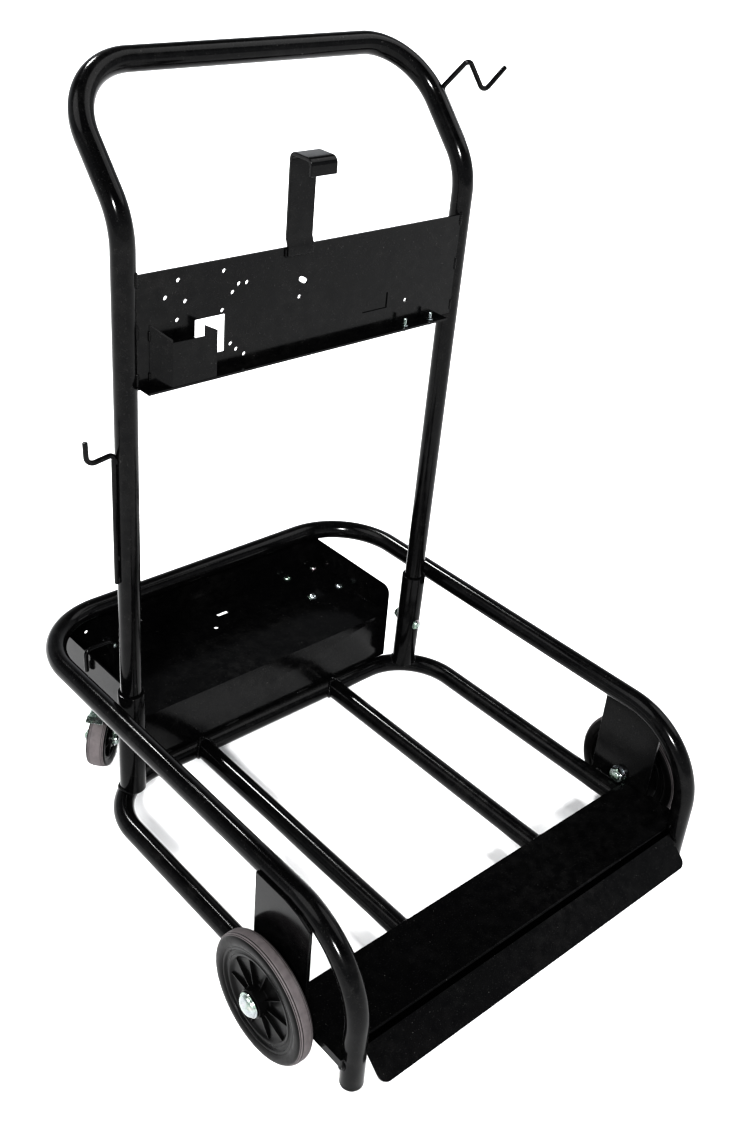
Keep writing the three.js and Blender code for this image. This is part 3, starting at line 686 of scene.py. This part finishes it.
def up_the_handle(distance, offset=0.0):
    """Height and depth, in the mast's axes, of a place up the slope of the handle."""
    y = distance * math.sin(HANDLE_SLOPE) + offset * math.cos(HANDLE_SLOPE)
    z = HANDLE_KNEE + distance * math.cos(HANDLE_SLOPE) - offset * math.sin(HANDLE_SLOPE)
    return y, z


def build_hooks():
    left = bent_path(
        [(-HOOK_X, 0, 316), (-HOOK_X, 0, 476), (-274, 0, 471), (-275, 0, 498)], [5, 9], ROD_BEND_STEPS
    )
    finished("cable_hook_left_skin", rod(left), PAINT, "frame", ["cable_hook_left"], on_mast())
    right = bent_path(
        [
            (HOOK_X, *up_the_handle(32)), (HOOK_X, *up_the_handle(99)),
            (262, 48, 823), (289, 45, 785), (316, 40, 813),
        ],
        [7, 5, 8], ROD_BEND_STEPS,
    )
    finished("cable_hook_right_skin", rod(right), PAINT, "frame", ["cable_hook_right"], on_mast())
    outside, inside, along_y = -214.5, -178, 274
    keeper = bent_path(
        [
            (outside, along_y, 156), (outside, along_y, 187),
            (inside, along_y, 187), (inside, along_y, TRAY_FLOOR_TOP),
        ],
        [7, 7], ROD_BEND_STEPS,
    )
    finished("tray_keeper_skin", rod(keeper), PAINT, "frame", ["tray_keeper_rod"])


def build_sheets():
    """The toe plate, the cylinder tray, the wheel brackets and the caster risers."""

    def tray_fold(a, b):
        def both_near(axis, value):
            return near(a[axis], value) and near(b[axis], value)

        low = both_near(2, TRAY_FLOOR_TOP - TRAY_SHEET)
        on_side = near(abs(a.x), TRAY_HALF_WIDTH) and near(abs(b.x), TRAY_HALF_WIDTH)
        lengthwise = abs(a.y - b.y) > LONG_EDGE
        crosswise = abs(a.x - b.x) > LONG_EDGE
        under = low and ((on_side and lengthwise) or (both_near(1, TRAY_REAR_Y) and crosswise))
        front = both_near(1, TRAY_FRONT_Y) and both_near(2, TRAY_FLOOR_TOP) and crosswise
        return under or front

    painted_sheet("toe_plate", from_node("toe_plate"), 0.7)
    painted_sheet("cylinder_tray", from_node("cylinder_tray", tray_fold, 1.8), 0.45)
    for side, _ in SIDES:
        painted_sheet("wheel_bracket", from_node(f"wheel_bracket_{side}"), 0.8, f"_{side}")
        painted_sheet("caster_riser", from_node(f"caster_riser_{side}"), 0.6, f"_{side}")


def socket_bead_runs(sign):
    """Where a socket's foot meets the bent corner of the lower frame, as lines of points."""
    reach = SOCKET_R + 0.7
    bend = Vector((sign * (RAIL_X - LOWER_CORNER_R), CROSS_Y - LOWER_CORNER_R))
    runs = [[]]
    for k in range(181):
        angle = math.radians(2 * k + 45)
        spot = Vector((sign * MAST_X + reach * math.cos(angle), MAST_Y + reach * math.sin(angle)))
        offset = (spot - bend).length - LOWER_CORNER_R
        if abs(offset) < TUBE_R - 1.2:
            runs[-1].append((spot.x, spot.y, LOWER_Z + math.sqrt((TUBE_R + 0.4) ** 2 - offset**2)))
        elif runs[-1]:
            runs.append([])
    return [run for run in runs if len(run) > 4]


def weld_brackets(welds, sign):
    """Inside the wheel brackets, above the lower tube and below the cage rail."""
    inner = sign * (BRACKET_X - 2.4)
    for start, end in ((-246, -222), (-204, -176)):
        welds.bead([(inner, start, LOWER_Z + 8.6), (inner, end, LOWER_Z + 8.6)], 2.6)
    for start, end in ((-210, -190), (-184, -169)):
        welds.bead([(inner, start, CAGE_Z - 8.6), (inner, end, CAGE_Z - 8.6)], 2.3)


def weld_panel_end(welds, sign):
    """Three short beads down the seam between the panel and a post."""
    edge = sign * (PANEL_HALF_WIDTH - 0.4)
    y = PANEL_FRONT + 0.6
    stretches = (
        (PANEL_TOP - 13, PANEL_TOP + 3, 2.2), (600, 616, 2.0), (PANEL_BOTTOM + 4, PANEL_BOTTOM + 18, 2.0),
    )
    for low, high, size in stretches:
        welds.bead([(edge, y, low), (edge, y, high)], size, on_mast())


def weld_toe_plate(welds, sign):
    """The toe plate on the rails and round a leg."""
    rear_y, on_rail = -219.6, 64.6
    for rail in (INNER_RAIL_X, RAIL_X - 6):
        here = sign * rail
        welds.bead([(here - 7, rear_y, on_rail), (here + 7, rear_y, on_rail)], 1.7)
    behind_leg, on_plate = LEG_Y + 11, 68
    ends = (sign * (RAIL_X - 8), sign * (RAIL_X + 8))
    welds.bead([(x, behind_leg, on_plate) for x in ends], 1.8)


def weld_tray(welds, sign):
    """The tray on the cross tube, and its rear wall under the cage rail."""
    on_tube = LOWER_Z + TUBE_R + 0.6
    for centre in (60, 165):
        here = sign * centre
        welds.bead([(here - 11, TRAY_FRONT_Y, on_tube), (here + 11, TRAY_FRONT_Y, on_tube)], 2.0)
        welds.bead([(here - 12, TRAY_REAR_Y + 0.4, 189), (here + 12, TRAY_REAR_Y + 0.4, 189)], 2.0)
        welds.bead([(here - 9, TRAY_REAR_Y - 2.4, 189), (here + 9, TRAY_REAR_Y - 2.4, 189)], 1.6)


def weld_fittings(welds):
    """The stay's foot, the torch holder, both hooks and the keeper rod."""
    y = PANEL_FRONT - 0.5
    left, right = STAY_EDGES[0] - 0.4, STAY_EDGES[1] + 0.4
    foot = [
        (left, y, STAY_FOOT + 8), (left, y - 0.4, STAY_FOOT),
        (right, y - 0.4, STAY_FOOT), (right, y, STAY_FOOT + 8),
    ]
    welds.bead(foot, 1.6, on_mast())
    for low, high in ((552, 563), (596, 607)):
        welds.bead([(TORCH_HOLDER_X, y, low), (TORCH_HOLDER_X, y, high)], 1.4, on_mast())
    post_side = MAST_X + TUBE_R + 0.6
    for height in (318, 346, 464):
        for offset in (-2.2, 2.2):
            line = [(-post_side, offset, height), (-post_side, offset, height + 7)]
            welds.bead(line, 1.5, on_mast())
    for distance in (34, 84):
        for offset in (-2.2, 2.2):
            line = [(post_side, *up_the_handle(distance + extra, offset)) for extra in (0, 8)]
            welds.bead(line, 1.5, on_mast())
    welds.bead([(-210.6, 271.4, 160), (-210.6, 271.4, 172)], 1.4)


def build_welds():
    welds = Welds()
    for _, sign in SIDES:
        welds.saddle((sign * INNER_RAIL_X, CROSS_Y, LOWER_Z), (0, -1, 0), (1, 0, 0))
        welds.saddle((sign * RAIL_X, LEG_Y, LOWER_Z), (0, 1, 0), (0, 0, 1))
        for run in socket_bead_runs(sign):
            welds.bead(run, 2.1)
        weld_brackets(welds, sign)
        weld_panel_end(welds, sign)
        weld_toe_plate(welds, sign)
        weld_tray(welds, sign)
    weld_fittings(welds)
    finished("weld_beads", welds.bm, PAINT, "frame", smooth=60)


# ---- Front wheels --------------------------------------------------------------------
def tyre_profile(radius, half, inner, grooves):
    """A rounded tread with fine grooves; [radius, x] pairs that close on themselves."""
    shoulder = radius * 0.945
    wall = [
        (inner, half * 0.84), (inner + 1.5, half * 0.93), (radius * 0.87, half), (radius * 0.91, half * 0.99),
    ]
    points = [(r, -x) for r, x in wall]
    steps = 60
    reach = half * 0.96
    for k in range(steps + 1):
        x = reach * (2 * k / steps - 1)
        height = shoulder + (radius - shoulder) * (1 - (abs(x) / reach) ** 3.4)
        for groove in grooves:
            height -= 0.6 * math.exp(-(((abs(x) - groove) / 0.28) ** 2))
        points.append((height, x))
    return points + wall[::-1]


def wheel_mesh(profile, segments, band, grooves):
    """A tyre about +Z: a grey tread band; its shoulders, sides and grooves are black."""
    bm = turned(profile, segments, closed=True)
    tread_from = max(radius for radius, _ in profile) * 0.94
    for face in bm.faces:
        centre = face.calc_center_median()
        along = abs(centre.z)
        in_groove = any(abs(along - groove) < 0.3 for groove in grooves)
        if along > band or in_groove or math.hypot(centre.x, centre.y) < tread_from:
            face.material_index = 1
    return bm


def build_front_wheel(side, sign):
    body = f"front_wheel_{side}"
    spot = Matrix.Translation((sign * WHEEL_X, WHEEL_Y, WHEEL_R))
    place = spot @ Matrix.Rotation(sign * math.pi / 2, 4, "Y")
    grooves = (5.2, 7.3)
    profile = tyre_profile(WHEEL_R, WHEEL_HALF, inner=59.2, grooves=grooves)
    tyre = wheel_mesh(profile, segments=128, band=8.4, grooves=grooves)
    rubbers = [TREAD, SIDE_WALL]
    finished(f"front_tyre_skin_{side}", tyre, rubbers, body, [f"front_tyre_{side}"], place, smooth=50)

    hub = bmesh.new()
    faces = [
        (17.4, 4.6), (18.4, 3.8), (20.5, 3.4), (43, 3.4), (45.5, 3.9), (46.8, 5.2), (47.6, 6.6), (48.6, 7.1),
        (50.6, 7.1), (51.2, 6.5), (52, 6.3), (54.8, 6.3), (55.5, 6.8), (56.2, 8.0), (57.2, 8.4), (59.1, 8.2),
    ]
    inner_boss = [(9.6, HUB_INNER - 0.4), (10.2, HUB_INNER), (16.2, HUB_INNER), (17, HUB_INNER - 0.8)]
    outer_boss = [(9.6, HUB_OUTER - 0.4), (10.2, HUB_OUTER), (15.2, HUB_OUTER), (16, HUB_OUTER - 0.8)]
    profile = [(r, -h) for r, h in inner_boss + faces] + [(r, h) for r, h in reversed(outer_boss + faces)]
    turned(profile, 96, closed=True, into=hub)
    for k in range(HUB_RIBS):
        for face_side in (-1, 1):
            angle = HUB_FIRST_RIB + k * math.tau / HUB_RIBS
            add_rib(hub, angle, face_side, start=16, end=47, base=3.2, start_top=8.4, end_top=5.6, width=1.7)
    finished(f"front_hub_skin_{side}", hub, PLASTIC, body, [f"front_hub_{side}"], place, smooth=35)
    low, high = -HUB_INNER, HUB_OUTER
    bush = [
        (6.4, low + 0.3), (6.7, low), (8.9, low), (9.1, low + 0.2),
        (9.1, high - 0.2), (8.9, high), (6.7, high), (6.4, high - 0.3),
    ]
    bush_mesh = turned(bush, 40, closed=True)
    finished(f"front_bush_skin_{side}", bush_mesh, ZINC, body, [f"front_bush_{side}"], place)


def add_rib(bm, angle, face_side, start, end, base, start_top, end_top, width):
    """A thin radial rib on a hub face, tapering towards the rim."""
    along = Vector((math.cos(angle), math.sin(angle), 0))
    across = Vector((-math.sin(angle), math.cos(angle), 0))
    corners = []
    for reach, top in ((start, start_top), (end, end_top)):
        for offset, height, scale in ((-1, base, 1), (-1, top, 0.6), (1, top, 0.6), (1, base, 1)):
            point = along * reach + across * offset * width / 2 * scale + Vector((0, 0, height * face_side))
            corners.append(bm.verts.new(point))
    a, b = corners[:4], corners[4:]
    for k in range(4):
        bm.faces.new((a[k], a[(k + 1) % 4], b[(k + 1) % 4], b[k]))
    bm.faces.new(a)
    bm.faces.new(b)


def build_front_axle(side, sign):
    outwards = turned_to((sign, 0, 0), (0, WHEEL_Y, WHEEL_R))
    outer_end = WHEEL_X + HUB_OUTER + 0.5
    inner_end = BRACKET_X - 10
    pin = [
        (0, inner_end), (5, inner_end), *thread(5.9, inner_end + 0.3, BRACKET_X - 1, 1.4),
        (6, BRACKET_X), (6, outer_end), (0, outer_end),
    ]
    finished(f"axle_pin_skin_{side}", turned(pin, 40), ZINC, "frame", [f"axle_pin_{side}"], outwards)
    cap = [
        (0, 0.2), (13.8, 0.2), (14.4, 0.5), (14.5, 1.1), (14.1, 1.8), (12.9, 2.1), (12.6, 2.9), (11.9, 4.2),
        (10.5, 5.5), (8.4, 6.6), (5.8, 7.3), (3, 7.65), (0, 7.75),
    ]
    cap_place = turned_to((sign, 0, 0), (sign * outer_end, WHEEL_Y, WHEEL_R))
    finished(f"axle_cap_skin_{side}", turned(cap, 56), ZINC, "frame", [f"axle_cap_{side}"], cap_place)
    nut = hexagon(10.8, BRACKET_X - 8.2, BRACKET_X - 1.4, 6.0, chamfer=1.1)
    washer = [(6.1, BRACKET_X - 1.4), (11.6, BRACKET_X - 1.4), (11.6, BRACKET_X), (6.1, BRACKET_X)]
    turned(washer, 48, closed=True, into=nut)
    finished(f"axle_nut_skin_{side}", nut, ZINC, "frame", [f"axle_nut_{side}"], outwards)


# ---- Casters -------------------------------------------------------------------------
def build_caster(side, sign):
    swivel = f"caster_swivel_{side}"
    place = on_caster(sign)
    fork = from_node(f"caster_fork_{side}")
    finished(f"caster_fork_skin_{side}", fork, ZINC, swivel, [f"caster_fork_{side}"], bevel=0.7)
    race = [
        (7.2, 0.2), (21.6, 0.2), (22.6, 1.6), (22.4, 4.2), (20.9, 6.2),
        (20.7, 7.4), (21.5, 8.6), (21.2, 10.4), (19.4, 11.1), (7.2, 11.1),
    ]
    race = turned([(r, CASTER_CROWN_Z + z) for r, z in race], 56, closed=True)
    finished(f"caster_race_{side}", race, ZINC, swivel, place=place)
    pedal = from_node(f"brake_pedal_{side}")
    brake = f"caster_brake_{side}"
    finished(f"brake_pedal_skin_{side}", pedal, ZINC, brake, [f"brake_pedal_{side}"], bevel=0.5)
    build_caster_wheel(side, place, swivel)
    build_caster_mount(side, sign)


def build_caster_wheel(side, place, swivel):
    """The axle bolt, tyre and hub; the bolt stays with the fork."""
    spot = Matrix.Translation((CASTER_TRAIL, 0, CASTER_R))
    place = place @ spot @ Matrix.Rotation(-math.pi / 2, 4, "X")
    reach = CASTER_HALF + FORK_GAP + FORK_SHEET
    bolt = [
        (0, -reach - 7.2), (3.2, -reach - 7.2), *thread(4, -reach - 7, -reach - 5.2, 1.0),
        (4, -reach - 5), (4, reach),
        (7.4, reach), (7.5, reach + 0.8), (7.0, reach + 1.1), (6.9, reach + 2.6), (6.2, reach + 4.2),
        (4.4, reach + 5.2), (2, reach + 5.5), (0, reach + 5.6),
    ]
    axle = turned(bolt, 40)
    hexagon(7.4, -reach - 5.6, -reach, 4.0, into=axle)
    finished(f"caster_axle_skin_{side}", axle, ZINC, swivel, [f"caster_axle_{side}"], place)

    wheel = f"caster_wheel_{side}"
    grooves = (7.4, 9.4)
    profile = tyre_profile(CASTER_R, CASTER_HALF, inner=27.2, grooves=grooves)
    tyre = wheel_mesh(profile, segments=96, band=10.6, grooves=grooves)
    rubbers = [TREAD, SIDE_WALL]
    finished(f"caster_tyre_skin_{side}", tyre, rubbers, wheel, [f"caster_tyre_{side}"], place, smooth=50)
    faces = [
        (4.5, 13), (4.9, 13.3), (10.4, 13.3), (11, 12.8), (11.6, 6), (13, 5.2), (21.6, 5.2),
        (23, 6.2), (24.6, 10), (25.6, 10.6), (27.1, 10.4),
    ]
    hub = turned([(r, -h) for r, h in faces] + [(r, h) for r, h in reversed(faces)], 64, closed=True)
    for k in range(CASTER_RIBS):
        for face_side in (-1, 1):
            angle = k * math.tau / CASTER_RIBS
            add_rib(hub, angle, face_side, start=10.4, end=24, base=5, start_top=11, end_top=9, width=2)
    finished(f"caster_hub_skin_{side}", hub, PLASTIC, wheel, [f"caster_hub_{side}"], place, smooth=35)


def build_caster_mount(side, sign):
    """The caster's plate and the four bolts that hold it under the tray."""
    here = Matrix.Translation((sign * CASTER_X, CASTER_Y, 0))
    plate = from_node(f"caster_plate_{side}")
    finished(f"caster_plate_skin_{side}", plate, ZINC, "frame", [f"caster_plate_{side}"], bevel=0.5)
    seat = TRAY_FLOOR_TOP
    foot = CASTER_PLATE_Z
    profile = [
        (0, foot - 7.3), (2.4, foot - 7.3), *thread(3, foot - 7.1, foot - 4.2, 0.9), (3, foot - 4.2),
        (3, seat), (7.2, seat), (7.3, seat + 0.7), (6.4, seat + 0.9), (6.2, seat + 1.9),
        (5.0, seat + 3.4), (3.2, seat + 4.1), (0, seat + 4.4),
    ]
    index = 0
    for dx in (-CASTER_BOLT_DX, CASTER_BOLT_DX):
        for dy in (-CASTER_BOLT_DY, CASTER_BOLT_DY):
            index += 1
            bolt = turned(profile, 36)
            hexagon(5.9, foot - 5, foot, 3.0, into=bolt, chamfer=0.6)
            name = f"caster_bolt_{side}_{index}"
            spot = here @ Matrix.Translation((dx, dy, 0)) @ Matrix.Rotation(index * 0.7, 4, "Z")
            finished(f"caster_bolt_skin_{side}_{index}", bolt, ZINC, "frame", [name], spot)


# ---- Studio --------------------------------------------------------------------------
FLOOR_HALF = 14
SENSOR = 36
LENS = 39.95
VIEW_LIMIT = 60
VIEW_FROM = (-0.83508, -0.87406, 1.12177)
VIEW_RIGHT = Vector((0.75161, -0.65563, 0.07238))
VIEW_DOWN = Vector((-0.29746, -0.43483, -0.84997))
VIEW_FORWARD = Vector((0.58874, 0.61731, -0.52184))


def build_floor():
    bm = bmesh.new()
    bmesh.ops.create_grid(bm, x_segments=8, y_segments=8, size=FLOOR_HALF)
    data = bpy.data.meshes.new("studio_floor")
    bm.to_mesh(data)
    bm.free()
    floor = bpy.data.objects.new("studio_floor", data)
    data.materials.append(pale_floor())
    bpy.context.scene.collection.objects.link(floor)


def distant(name, towards, strength, spread):
    """A distant studio lamp, in the direction towards it; spread is its width in degrees."""
    light = bpy.data.lights.new(name, "SUN")
    light.energy = strength
    light.angle = math.radians(spread)
    lamp = bpy.data.objects.new(name, light)
    lamp.rotation_euler = Vector(towards).to_track_quat("Z", "Y").to_euler()
    bpy.context.scene.collection.objects.link(lamp)


def studio_world():
    """Walls that are bright near the floor and darken towards the ceiling."""
    world = bpy.data.worlds.new("studio")
    world.use_nodes = True
    tree = world.node_tree
    background = tree.nodes["Background"]
    background.inputs["Color"].default_value = (0.95, 0.97, 1.0, 1)
    coords = tree.nodes.new("ShaderNodeTexCoord").outputs["Generated"]
    split = tree.nodes.new("ShaderNodeSeparateXYZ")
    tree.links.new(coords, split.inputs[0])
    height = tree.nodes.new("ShaderNodeMapRange")
    height.interpolation_type = "SMOOTHSTEP"
    for name, value in (("From Min", 0.25), ("From Max", 0.72), ("To Min", 1.0), ("To Max", 0.12)):
        height.inputs[name].default_value = value
    tree.links.new(split.outputs[2], height.inputs["Value"])
    tree.links.new(height.outputs["Result"], background.inputs["Strength"])
    return world


def build_studio():
    scene = bpy.context.scene
    scene.world = studio_world()
    scene.view_settings.view_transform = "Standard"
    scene.view_settings.look = "High Contrast"
    distant("overhead", (0.12, 0.6, 0.79), 1.7, 8)
    distant("left_fill", (-0.75, 0.25, 0.95), 1.3, 40)
    distant("right_fill", (0.8, -0.3, 0.9), 1.1, 40)
    distant("near_camera", (-0.56, -0.6, 0.62), 4.5, 8)

    camera = bpy.data.cameras.new("photo_view")
    camera.sensor_fit = "VERTICAL"
    camera.sensor_height = SENSOR
    camera.lens = LENS
    camera.clip_end = VIEW_LIMIT
    view = bpy.data.objects.new("photo_view", camera)
    turn = Matrix((VIEW_RIGHT, -VIEW_DOWN, -VIEW_FORWARD)).transposed().to_4x4()
    view.matrix_world = Matrix.Translation(VIEW_FROM) @ turn
    scene.collection.objects.link(view)
    scene.camera = view


build_frame_tubes()
build_mast()
build_panel()
build_hooks()
build_sheets()
build_welds()
for side, sign in SIDES:
    build_front_wheel(side, sign)
    build_front_axle(side, sign)
    build_caster(side, sign)
build_floor()
build_studio()
